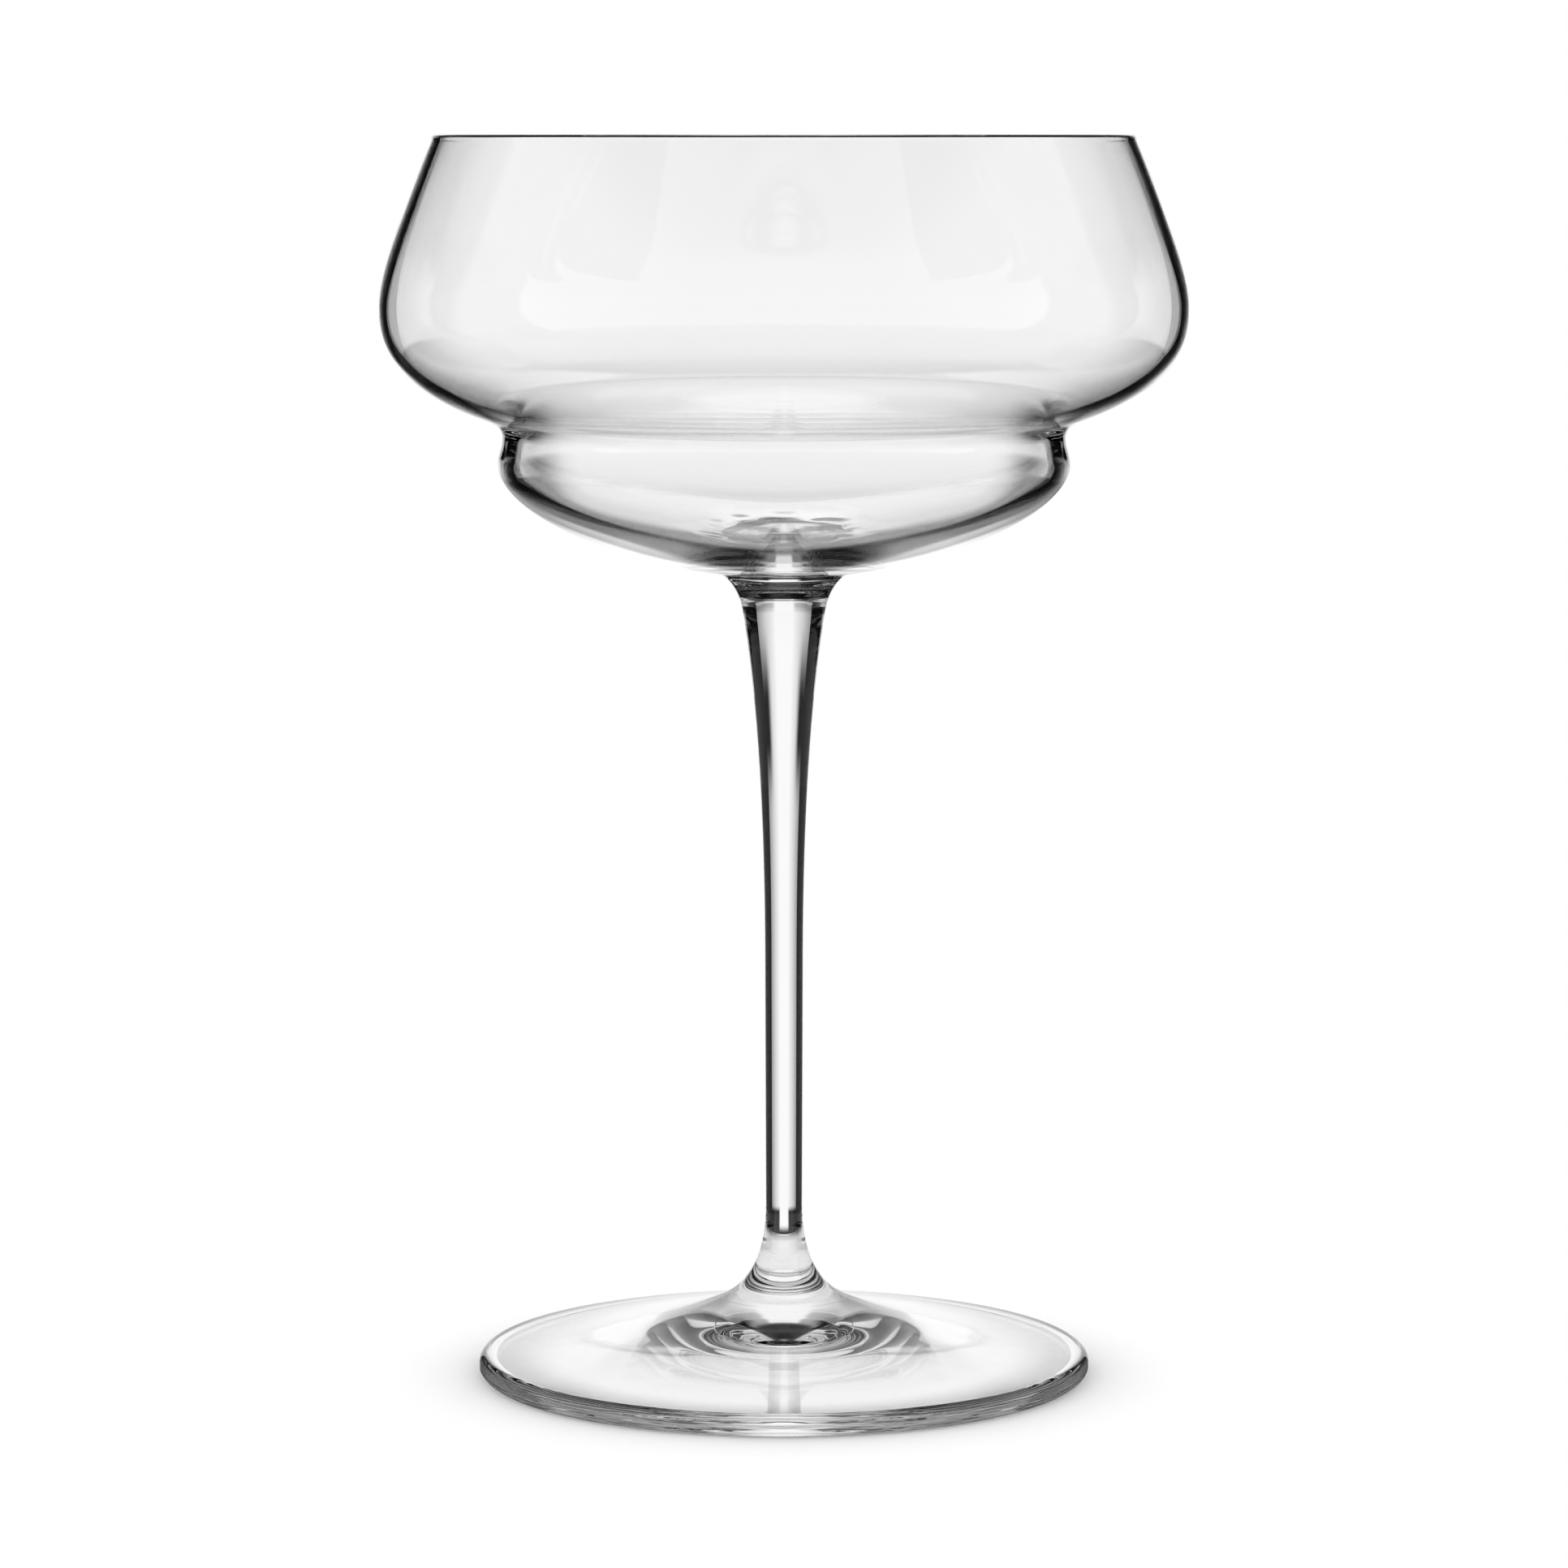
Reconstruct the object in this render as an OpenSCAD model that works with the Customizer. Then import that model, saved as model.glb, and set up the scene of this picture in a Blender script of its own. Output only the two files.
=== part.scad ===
// Stemmed cocktail glass with a double-chambered bowl, made of three fused gathers of glass.
// Every piece is an outline turned about the Z axis. The table is at Z = 0 and the axis is the glass's own.

/* [Overall] */
// Height of the glass, from the table to the top of the rim
glass_h = 160; // [148:1:185]

/* [Bowl, outside] */
// Diameter of the mouth, over the rim
rim_d = 89.6; // [80:0.2:98]
// Widest diameter of the upper chamber
chamber_d = 103.3; // [99:0.1:115]
// Drop from the rim to the widest ring of the upper chamber
chamber_drop = 21.8; // [19:0.1:28]
// Height of the leaning wall, from the rim down to where the shoulder starts to turn
wall_h = 13.6; // [9:0.1:15]
// Depth of the upper chamber's rounded underside, if it ran on to the axis
underside_depth = 18.8; // [16:0.1:22]
// Diameter of the pinched waist between the two chambers
waist_d = 71.9; // [66:0.1:76]
// Drop from the narrowest ring of the waist to the widest ring of the lower chamber
waist_drop = 3.5; // [2:0.1:5]
// How far the lower chamber swells out past the waist, on each side
bulge_out = 0.7; // [0.2:0.1:3]
// Depth of the lower chamber's rounded bottom, if it ran on to the axis
bottom_depth = 14.5; // [12:0.1:18]

/* [Bowl, glass thickness] */
// Thickness of the fire-polished rim
rim_wall = 1.2; // [0.9:0.05:2]
// Thickness of the wall at the widest ring of the upper chamber
shoulder_wall = 1.25; // [1:0.05:2.2]
// Thickness of the wall where the upper chamber's underside ends
underside_wall = 1.3; // [1:0.05:2.4]
// Thickness of the wall at the waist
waist_wall = 1.9; // [1.4:0.1:3]
// Thickness of the wall at the widest ring of the lower chamber
bulge_wall = 2; // [1.5:0.1:3.4]
// Thickness of the wall low on the lower chamber, before the floor thickens
bottom_wall = 2.2; // [1.5:0.1:3.4]
// Thickness of the floor in the middle of the lower chamber
floor_wall = 2.2; // [1.6:0.1:4]

/* [Stem] */
// Diameter of the stem at its narrowest, near the foot
stem_d = 4.7; // [4:0.1:8]
// Diameter of the stem where its long taper starts, under the bowl
throat_d = 10.4; // [9:0.1:13]
// Diameter of the joint between the stem and the bowl
bowl_joint_d = 16.6; // [14.4:0.1:22]
// Height of the curve between the throat and the bowl
throat_h = 5.4; // [4:0.1:9]
// Height of the long taper
taper_h = 46; // [30:1:52]
// Height of the trumpet at the foot of the stem
trumpet_h = 12.4; // [9:0.1:16]

/* [Foot] */
// Diameter of the foot
foot_d = 79.4; // [66:0.2:95]
// Thickness of the foot's rounded edge
edge_h = 3; // [2.4:0.1:4.4]
// Diameter of the joint between the stem and the foot
foot_joint_d = 16; // [13:0.1:19]
// Height of that joint above the table
foot_joint_h = 10; // [8.6:0.1:13]
// Width of the flat ring that the glass stands on
rest_w = 1; // [0.6:0.1:2]
// Thickness of the foot's plate, measured under the corner of its cone
plate_h = 3; // [2.4:0.1:3.6]
// Depth of the hollow under the foot
hollow_h = 4; // [3.2:0.1:4.8]

/* [Hidden] */

// Straight facets of one curve, and of one turn about the axis
curve_steps = 16;
turn_steps = 120;

rim_r = rim_d / 2;
chamber_r = chamber_d / 2;
waist_r = waist_d / 2;
bulge_r = waist_r + bulge_out;
bowl_joint_r = bowl_joint_d / 2;
foot_joint_r = foot_joint_d / 2;
foot_r = foot_d / 2;
stem_r = stem_d / 2;
throat_r = throat_d / 2;

// The share of the wall's outward gain that the leaning wall makes, before the shoulder turns
wall_gain_share = 0.728;
// Where the tangents of the wall and the widest ring meet, as a share of the drop between them
shoulder_share = 0.66;
// Fullness of the two rounded undersides, as the power of their superellipse: 2 is a plain ellipse
underside_power = 2.44;
bottom_power = 1.775;
// Reach of the bend between the underside and the waist, along each of its two sides
waist_bend = 1.5;
// How far along the wall's outlines their creases are spread out, and into how many steps on each side
soften_reach = 1.6;
soften_steps = 5;
// Where bottom_wall is measured, as a share of the curve from the lower chamber's widest ring to the joint
bottom_share = 0.75;
// Slope of the stem's joint curve where it leaves the throat, outwards for each unit of height
throat_slope = 0.16;
// Height of the steep end of that curve, next to the bowl
throat_lip_h = 1.4;
// How much thicker the stem is at the end of the long taper than at its narrowest, on each side
stem_swell = 0.1;
// Slope of the stem's trumpet at the foot, outwards for each unit of height
trumpet_slope = 2.2;
// Radius at which the foot's steep boss gives way to its shallow cone, and the end of that bend
boss_r = 11;
cone_r = 16;
// Radius and height of the tangent corner of the shallow cone
cone_corner_r = 24;
cone_corner_h = 4.9;
// Radius of the tangent corner where the hollow under the foot levels off
hollow_r = 12;

// Curves that the outlines are made of

// Points from a to b along a curve that touches the lines a-corner and corner-b
function bend(a, corner, b) = [
    for (i = [0 : curve_steps])
    let (t = i / curve_steps)
    (1 - t) * (1 - t) * a + 2 * t * (1 - t) * corner + t * t * b
];

// One point of a rounded underside: angle 0 is its widest ring and angle 90 its lowest point
function underside_point(widest, depth, power, angle) = [
    widest[0] * pow(cos(angle), 2 / power),
    widest[1] - depth * pow(sin(angle), 2 / power)
];

// Angle at which that underside has the given radius
function underside_angle(widest_r, power, r) = acos(pow(r / widest_r, power / 2));

// Points of an underside between two angles
function underside(widest, depth, power, from, to) = [
    for (i = [0 : curve_steps])
    underside_point(widest, depth, power, from + (to - from) * i / curve_steps)
];

// Points of a circle's arc about a centre
function arc(centre, radius, from, to) = [
    for (i = [0 : curve_steps])
    let (angle = from + (to - from) * i / curve_steps)
    centre + radius * [cos(angle), sin(angle)]
];

// Where the line through a point, rising by slope for each unit of radius, reaches the radius r
function on_line(point, slope, r) = [r, point[1] + slope * (r - point[0])];

// A smooth step from 0 to 1
function ease(t) = (1 - cos(180 * t)) / 2;

// A list without its first point, to join two curves that share it
function tail(points) = [for (i = [1 : len(points) - 1]) points[i]];

// A list turned end for end
function backwards(points) = [for (i = [len(points) - 1 : -1 : 0]) points[i]];

// Bowl

// The leaning wall ends where the shoulder starts to turn, and the shoulder ends on the widest ring
wall_end = [rim_r + wall_gain_share * (chamber_r - rim_r), glass_h - wall_h];
widest = [chamber_r, glass_h - chamber_drop];
shoulder_corner = [chamber_r, wall_end[1] - shoulder_share * (chamber_drop - wall_h)];
wall_slope = (wall_end[1] - shoulder_corner[1]) / (wall_end[0] - shoulder_corner[0]);
wall_middle_r = wall_end[0] + wall_h / 2 / wall_slope;
wall_corner = on_line(wall_end, wall_slope, wall_middle_r);

// The rim is a half circle across the leaning wall, and its highest point is at glass_h
rim_round = rim_wall / 2;
rim_lean = atan((wall_corner[0] - rim_r) / (glass_h - wall_corner[1]));
rim_normal = [cos(rim_lean), sin(rim_lean)];
rim_centre = [rim_r, glass_h - rim_round] - [rim_round * cos(rim_lean), 0];
rim_edge = rim_centre + rim_round * rim_normal;

// The underside runs in until the waist's bend takes over, on the tangent that it has there
waist_angle = underside_angle(chamber_r, underside_power, waist_r + waist_bend);
waist_start = underside_point(widest, underside_depth, underside_power, waist_angle);
underside_slope = underside_depth / chamber_r * pow(
    waist_start[0] / chamber_r * underside_depth / (widest[1] - waist_start[1]),
    underside_power - 1
);
waist_corner = on_line(waist_start, underside_slope, waist_r);
waist = waist_corner - [0, waist_bend];

// The lower chamber's widest ring, and the ring of its bottom where the stem is fused on
bulge = [bulge_r, waist[1] - waist_drop];
bowl_joint_angle = underside_angle(bulge_r, bottom_power, bowl_joint_r);
bowl_joint = underside_point(bulge, bottom_depth, bottom_power, bowl_joint_angle);

// Outer outline from the rim down to the joint and on to the axis, as its curves meet
drawn_wall = concat(
    bend(rim_edge, wall_corner, wall_end),
    tail(bend(wall_end, shoulder_corner, widest)),
    tail(underside(widest, underside_depth, underside_power, 0, waist_angle)),
    tail(bend(waist_start, waist_corner, waist)),
    [for (i = [1 : curve_steps]) waist + [bulge_out * ease(i / curve_steps), -waist_drop * i / curve_steps]],
    tail(underside(bulge, bottom_depth, bottom_power, 0, bowl_joint_angle)),
    tail(underside(bulge, bottom_depth, bottom_power, bowl_joint_angle, 90))
);

// Distance from one point of an outline to the next, and none after the last
function step_length(points, i) = i < len(points) - 1 ? norm(points[i + 1] - points[i]) : 0;

// Distance run along an outline up to each of its points
function distances(points) = [
    for (i = 0, run = 0; i < len(points); run = run + step_length(points, i), i = i + 1)
    run
];

// An outline without its creases: each point moves to the weighted middle of the stretch round it, and both
// ends stay. The weights of such a stretch add up to twice its number of steps.
function softened(points) =
    let (
        runs = distances(points),
        radii = [for (i = [0 : len(points) - 1]) [runs[i], points[i][0]]],
        heights = [for (i = [0 : len(points) - 1]) [runs[i], points[i][1]]],
        shares = [for (k = [1 - soften_steps : soften_steps - 1]) k / soften_steps],
        weights = [for (share = shares) 1 + cos(180 * share)]
    )
    [
        for (run = runs)
        let (near = min(soften_reach, run, runs[len(runs) - 1] - run))
        [
            for (table = [radii, heights])
            weights * [for (share = shares) lookup(run + near * share, table)] / (2 * soften_steps)
        ]
    ];

// The outline that the bowl has, and the part of it that is outside: six curves, from the rim to the joint
full_wall = softened(drawn_wall);
joint_index = 6 * curve_steps;
outer_wall = [for (i = [0 : joint_index]) i == joint_index ? bowl_joint : full_wall[i]];

// Value at a place along a course of [place, value] stations, eased from each station to the next
function along(course, place, i = 0) =
    i < len(course) - 2 && place > course[i + 1][0]
    ? along(course, place, i + 1)
    : let (from = course[i], to = course[i + 1])
        from[1] + (to[1] - from[1]) * ease((place - from[0]) / (to[0] - from[0]));

// The glass is thin where it was blown out far and thick near the stem
wall_run = distances(full_wall);
thickness_course = [
    [wall_run[0], rim_wall],
    [wall_run[2 * curve_steps], shoulder_wall],
    [wall_run[3 * curve_steps], underside_wall],
    [wall_run[4 * curve_steps], waist_wall],
    [wall_run[5 * curve_steps], bulge_wall],
    [wall_run[round((5 + bottom_share) * curve_steps)], bottom_wall],
    [wall_run[7 * curve_steps], floor_wall]
];

// Unit vector into the glass at one point of an outline that runs down and inwards
function inwards(points, i) =
    let (step = points[min(i + 1, len(points) - 1)] - points[max(i - 1, 0)])
    [step[1], -step[0]] / norm(step);

// Inner outline from the rim down to the axis
inner_wall = softened([
    for (i = [1 : len(full_wall) - 1])
    let (point = full_wall[i] + along(thickness_course, wall_run[i]) * inwards(full_wall, i))
    [i == len(full_wall) - 1 ? 0 : point[0], point[1]]
]);

module bowl() {
    color("aliceblue", 0.4)
    rotate_extrude($fn = turn_steps)
    polygon(concat(
        [[0, bowl_joint[1]]],
        backwards(outer_wall),
        tail(arc(rim_centre, rim_round, rim_lean, rim_lean + 180)),
        inner_wall
    ));
}

// Stem

throat = [throat_r, bowl_joint[1] - throat_h];
throat_corner_h = throat_h - throat_lip_h;
throat_corner = throat + [throat_slope * throat_corner_h, throat_corner_h];
taper_r = stem_r + stem_swell;
taper_corner = [taper_r, throat[1] - (throat_r - taper_r) / throat_slope];
taper_end = [taper_r, throat[1] - taper_h];
trumpet_start = [stem_r, foot_joint_h + trumpet_h];
trumpet_corner = [stem_r, foot_joint_h + (foot_joint_r - stem_r) / trumpet_slope];
foot_joint = [foot_joint_r, foot_joint_h];

module stem() {
    color("lightcyan", 0.5)
    rotate_extrude($fn = turn_steps)
    polygon(concat(
        [[0, bowl_joint[1]]],
        bend(bowl_joint, throat_corner, throat),
        tail(bend(throat, taper_corner, taper_end)),
        bend(trumpet_start, trumpet_corner, foot_joint),
        [[0, foot_joint_h]]
    ));
}

// Foot

// The boss takes up the trumpet's slope, and the cone runs out to touch the rounded edge
boss_corner = [boss_r, foot_joint_h - (boss_r - foot_joint_r) / trumpet_slope];
cone_corner = [cone_corner_r, cone_corner_h];
cone_slope = (cone_corner_h - boss_corner[1]) / (cone_corner_r - boss_r);
cone_start = on_line(boss_corner, cone_slope, cone_r);

edge_round = edge_h / 2;
edge_centre = [foot_r - edge_round, edge_round];
to_edge = edge_centre - cone_corner;
edge_tilt = atan2(to_edge[1], to_edge[0]) + asin(edge_round / norm(to_edge));
cone_end = edge_centre + edge_round * [-sin(edge_tilt), cos(edge_tilt)];
rest_r = edge_centre[0] - rest_w;

// The underside follows the cone from the ring that stands on the table, and levels off in the middle
under_corner = cone_corner - [0, plate_h];
hollow_corner = [hollow_r, hollow_h];
under_middle = (under_corner + hollow_corner) / 2;

module foot() {
    color("azure", 0.5)
    rotate_extrude($fn = turn_steps)
    polygon(concat(
        [[0, foot_joint_h]],
        bend(foot_joint, boss_corner, cone_start),
        tail(bend(cone_start, cone_corner, cone_end)),
        tail(arc(edge_centre, edge_round, edge_tilt + 90, -90)),
        bend([rest_r, 0], under_corner, under_middle),
        tail(bend(under_middle, hollow_corner, [0, hollow_h]))
    ));
}

bowl();
stem();
foot();
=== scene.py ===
# %% [markdown]
# A stemmed cocktail glass in a bright-field studio set. Three gathers of clear glass are fused end to end:
# a blown bowl with two chambers, a drawn stem and a pressed foot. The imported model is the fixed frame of
# this lesson: it gives every piece its place, and nothing here moves or resizes it.

# %% Load the frame
import bisect
import math

import bpy
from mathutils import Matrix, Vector


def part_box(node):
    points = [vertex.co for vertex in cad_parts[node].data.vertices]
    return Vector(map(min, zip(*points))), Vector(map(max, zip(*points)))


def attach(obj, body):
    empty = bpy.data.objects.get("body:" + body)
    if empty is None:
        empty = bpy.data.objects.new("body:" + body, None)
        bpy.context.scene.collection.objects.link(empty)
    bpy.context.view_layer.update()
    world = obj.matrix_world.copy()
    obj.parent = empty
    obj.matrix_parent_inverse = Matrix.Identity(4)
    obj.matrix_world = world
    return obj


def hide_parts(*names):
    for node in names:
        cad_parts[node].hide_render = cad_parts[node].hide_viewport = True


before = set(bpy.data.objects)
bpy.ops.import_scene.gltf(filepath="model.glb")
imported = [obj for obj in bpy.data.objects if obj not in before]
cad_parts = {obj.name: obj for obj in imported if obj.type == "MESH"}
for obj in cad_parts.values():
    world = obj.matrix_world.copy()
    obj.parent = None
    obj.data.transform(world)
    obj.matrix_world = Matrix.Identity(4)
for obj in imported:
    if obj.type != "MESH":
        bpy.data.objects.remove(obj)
scene = bpy.context.scene
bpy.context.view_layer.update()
MM = 0.001
glass_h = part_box("bowl")[1].z / MM

# %% [markdown]
# The photograph was taken a little above the table with a long lens, so the mouth shows as two nearly
# straight lines and the foot as a flat ellipse. A camera at the height of the rim does both. The four values
# below were found by laying the outline of the model over the outline in the photograph.

# %% Place the camera
CAMERA_AWAY_MM = 737.2
CAMERA_UP_MM = 160.0
AIM_UP_MM = 76.9
HALF_VIEW_DEG = 7.75
CLIP_START_MM = 10

camera_data = bpy.data.cameras.new("camera")
camera = bpy.data.objects.new("camera", camera_data)
scene.collection.objects.link(camera)
camera_place = Vector((0, -CAMERA_AWAY_MM, CAMERA_UP_MM)) * MM
camera_aim = Vector((0, 0, AIM_UP_MM)) * MM
camera.location = camera_place
camera.rotation_euler = (camera_aim - camera_place).to_track_quat("-Z", "Y").to_euler()
camera_data.lens = camera_data.sensor_width / 2 / math.tan(math.radians(HALF_VIEW_DEG))
camera_data.clip_start = CLIP_START_MM * MM
scene.camera = camera
print(f"camera: {camera_data.lens:.1f} mm lens, {(camera_aim - camera_place).length / MM:.0f} mm from its aim")

# %% [markdown]
# Colours are written as the hex values that a picture editor shows, and Cycles works in linear light, so one
# function turns the first into the second. Another adds a node with its settings and links, which keeps every
# material in this script to a line for each node. A third tells which rays look at the set, because Cycles
# knows for every ray how it set out: from the camera, off a gloss, or through clear glass.

# %% Helpers for colours and nodes
def linear(hex_colour):
    shares = [int(hex_colour[i:i + 2], 16) / 255 for i in (1, 3, 5)]
    return [s / 12.92 if s <= 0.04045 else ((s + 0.055) / 1.055) ** 2.4 for s in shares] + [1.0]


def add(tree, kind, settings=None, inputs=None):
    node = tree.nodes.new(kind)
    for name, value in (settings or {}).items():
        setattr(node, name, value)
    for name, value in (inputs or {}).items():
        if isinstance(value, bpy.types.NodeSocket):
            tree.links.new(value, node.inputs[name])
        else:
            node.inputs[name].default_value = value
    return node


def new_material(name):
    material = bpy.data.materials.new(name)
    material.use_nodes = True
    material.node_tree.nodes.clear()
    return material, material.node_tree


def multiplied(tree, a, b):
    return add(tree, "ShaderNodeMath", {"operation": "MULTIPLY"}, {0: a, 1: b}).outputs[0]


def soft_step(tree, value, start, end):
    """A soft edge: 0 before the start, 1 after the end."""
    return add(tree, "ShaderNodeMapRange", {"interpolation_type": "SMOOTHSTEP"},
               {"Value": value, "From Min": start, "From Max": end}).outputs[0]


def shown_rays(tree):
    """1 for the rays that look at the set: straight from the camera, or by way of gloss or clear glass."""
    rays = add(tree, "ShaderNodeLightPath").outputs
    either = add(tree, "ShaderNodeMath", {"operation": "MAXIMUM"},
                 {0: rays["Is Camera Ray"], 1: rays["Is Glossy Ray"]})
    return add(tree, "ShaderNodeMath", {"operation": "MAXIMUM"},
               {0: either.outputs[0], 1: rays["Is Transmission Ray"]}).outputs[0]


print(f"colours: #808080 is {linear('#808080')[0]:.3f} in linear light")

# %% [markdown]
# Clear glass has no colour of its own: what draws it is the set around it. Bright-field lighting puts a plain
# white sheet behind the glass, hardly wider than the picture, in a room that is darker. Rays through the
# middle of a wall run nearly straight on to the white, and rays through the edge of a wall are bent so far that
# they miss it, so each edge draws itself as a dark line. The world gives the camera its white, and an even
# light to all that is matt. A ray can go round and round inside thick glass, and it turns black when it runs
# out of bounces, so it gets more of them than usual.

# %% White world
BOUNCES = 32

world = bpy.data.worlds.new("white_sweep")
scene.world = world
world.use_nodes = True
world_tree = world.node_tree
world_tree.nodes.clear()
sweep = add(world_tree, "ShaderNodeBackground", inputs={"Color": linear("#FFFFFF"), "Strength": 1.0})
even_light = add(world_tree, "ShaderNodeBackground", inputs={"Color": linear("#FFFFFF"), "Strength": 1.0})
seen = add(world_tree, "ShaderNodeMixShader",
           inputs={0: shown_rays(world_tree), 1: even_light.outputs[0], 2: sweep.outputs[0]})
add(world_tree, "ShaderNodeOutputWorld", inputs={"Surface": seen.outputs[0]})
scene.cycles.max_bounces = BOUNCES
scene.cycles.transmission_bounces = BOUNCES
scene.cycles.glossy_bounces = BOUNCES
print(f"world: white, up to {BOUNCES} bounces inside the glass")

# %% [markdown]
# The floor is a sheet of white card. Near the glass the camera sees plain matt card, which keeps the glass's
# shadow, and further out it fades to the white of the sweep, so that no horizon shows. Gloss and clear glass see
# another floor. Under the foot the card partly glows white for them. This is painted light in the place of a
# lamp below the card, and so the foot stays bright. Past the edge of the foot they look through it to the room
# below, which is what darkens the edges.

# %% Floor
FLOOR_SIDE_MM = 6000
SHADOW_R_MM = 39
FADE_R_MM = 52
UNDER_FOOT_R_MM = 37
PAINTED_LIGHT_SHARE = 0.8
PAINTED_LIGHT_R_MM = 28

half_side = FLOOR_SIDE_MM * MM / 2
floor_mesh = bpy.data.meshes.new("floor")
floor_mesh.from_pydata([(x * half_side, y * half_side, 0) for x, y in ((-1, -1), (1, -1), (1, 1), (-1, 1))],
                       [], [(0, 1, 2, 3)])
floor = bpy.data.objects.new("floor", floor_mesh)
scene.collection.objects.link(floor)

white_card, card_tree = new_material("matt_white_card")
on_card = add(card_tree, "ShaderNodeTexCoord").outputs["Object"]
card_r = add(card_tree, "ShaderNodeVectorMath", {"operation": "LENGTH"}, {0: on_card}).outputs["Value"]
is_camera = add(card_tree, "ShaderNodeLightPath").outputs["Is Camera Ray"]
shown = shown_rays(card_tree)
past_shadow = soft_step(card_tree, card_r, SHADOW_R_MM * MM, FADE_R_MM * MM)
past_foot = add(card_tree, "ShaderNodeMath", {"operation": "GREATER_THAN"}, {0: card_r, 1: UNDER_FOOT_R_MM * MM})
away = add(card_tree, "ShaderNodeMix", inputs={0: is_camera, 2: past_foot.outputs[0], 3: past_shadow})
through_foot = add(card_tree, "ShaderNodeMath", {"operation": "SUBTRACT"}, {0: shown, 1: is_camera})
# Painted light: under the foot, gloss and clear glass see the card glow white, though no lamp is there.
near_middle = multiplied(card_tree, soft_step(card_tree, card_r, UNDER_FOOT_R_MM * MM, PAINTED_LIGHT_R_MM * MM), PAINTED_LIGHT_SHARE)
painted_light_share = multiplied(card_tree, through_foot.outputs[0], near_middle)

matt = add(card_tree, "ShaderNodeBsdfDiffuse", inputs={"Color": linear("#FAFAFA")})
white = add(card_tree, "ShaderNodeEmission", inputs={"Color": linear("#FFFFFF"), "Strength": 1.0})
open_floor = add(card_tree, "ShaderNodeBsdfTransparent")
near_card = add(card_tree, "ShaderNodeMixShader", inputs={0: painted_light_share, 1: matt.outputs[0], 2: white.outputs[0]})
far_card = add(card_tree, "ShaderNodeMixShader",
               inputs={0: is_camera, 1: open_floor.outputs[0], 2: white.outputs[0]})
card_surface = add(card_tree, "ShaderNodeMixShader",
                   inputs={0: multiplied(card_tree, away.outputs[0], shown), 1: near_card.outputs[0],
                           2: far_card.outputs[0]})
add(card_tree, "ShaderNodeOutputMaterial", inputs={"Surface": card_surface.outputs[0]})
floor_mesh.materials.append(white_card)
print(f"floor: matt card out to {SHADOW_R_MM} mm, white from {FADE_R_MM} mm on")

# %% [markdown]
# The rest of the room is one large globe round the glass. It hangs from the camera, as a photographer carries
# sheet and walls along when the camera goes round the glass. Only gloss and clear glass see it.

# %% Room
ROOM_R_MM = 5000

bpy.ops.mesh.primitive_uv_sphere_add(segments=64, ring_count=32, radius=ROOM_R_MM * MM, location=camera_aim)
globe = bpy.context.object
globe.name = "room"
bpy.context.view_layer.update()


def hang_from_camera(thing):
    """Carried along with the camera, and seen only by gloss and clear glass."""
    thing.parent = camera
    thing.matrix_parent_inverse = camera.matrix_world.inverted()
    thing.visible_camera = False
    thing.visible_diffuse = False
    thing.visible_shadow = False


hang_from_camera(globe)
print(f"room: {ROOM_R_MM} mm in radius")

# %% [markdown]
# The globe is shaded by direction: the white sheet straight ahead, behind the glass, and walls in level bands.
# Each band has a few shades, set by trial renders: a grey flag 30 to 35 degrees off straight ahead,
# which the stem shows as the soft dark stripe on each side of its bright middle, a lamp not quite beside the
# glass, and black low down behind it. The shades are nodes on Object coordinates, which give angles as well
# as any map would. Light that the matt floor gathers through the foot goes past the globe, to the even light of
# the world.

# %% Paint on the walls
SHEET_HALF_DEG = 9.5
SHEET_TOP_DEG = 36
SHEET_FOOT_DEG = -20
SOFT_DEG = 2
# Degrees off straight ahead, and the shade there.
DEEP_SHADES = ((0, "#F0F0F0"), (8, "#E8E8E8"), (20, "#404040"), (30, "#606060"), (55, "#606060"), (100, "#303030"),
               (150, "#202020"))
LOW_SHADES = ((0, "#101010"), (45, "#101010"), (55, "#505050"), (78, "#E8E8E8"), (110, "#D0D0D0"),
              (150, "#A8A8A8"))
LEVEL_SHADES = ((0, "#FFFFFF"), (10, "#F8F8F8"), (30, "#A0A0A0"), (45, "#E0E0E0"), (70, "#C8C8C8"), (78, "#FFFFFF"),
                (110, "#D8D8D8"), (150, "#B8B8B8"))
HIGH_SHADES = ((0, "#E8E8E8"), (20, "#9A9A9A"), (35, "#707070"), (60, "#C8C8C8"), (73, "#D0D0D0"), (75, "#FFFFFF"),
               (110, "#D0D0D0"), (150, "#C0C0C0"))
TOP_SHADES = ((0, "#303030"), (90, "#303030"))
ZENITH_SHADES = ((0, "#080808"), (90, "#080808"))
# Each band takes over from the one below it between two heights, in degrees over the level.
BANDS = ((-47, -41, LOW_SHADES), (-14, -12, LEVEL_SHADES), (8, 16, HIGH_SHADES), (32, 40, TOP_SHADES),
         (52, 58, ZENITH_SHADES))


def shades_by_angle(tree, share_of_half_turn, shades):
    node = add(tree, "ShaderNodeValToRGB", inputs={0: share_of_half_turn})
    stops = node.color_ramp.elements
    while len(stops) < len(shades):
        stops.new(1.0)
    for stop, (degrees, hex_colour) in zip(stops, shades):
        stop.position = degrees / 180
        stop.color = linear(hex_colour)
    return node.outputs["Color"]


def in_degrees(tree, angle):
    return add(tree, "ShaderNodeMath", {"operation": "DEGREES"}, {0: angle}).outputs[0]


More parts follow.
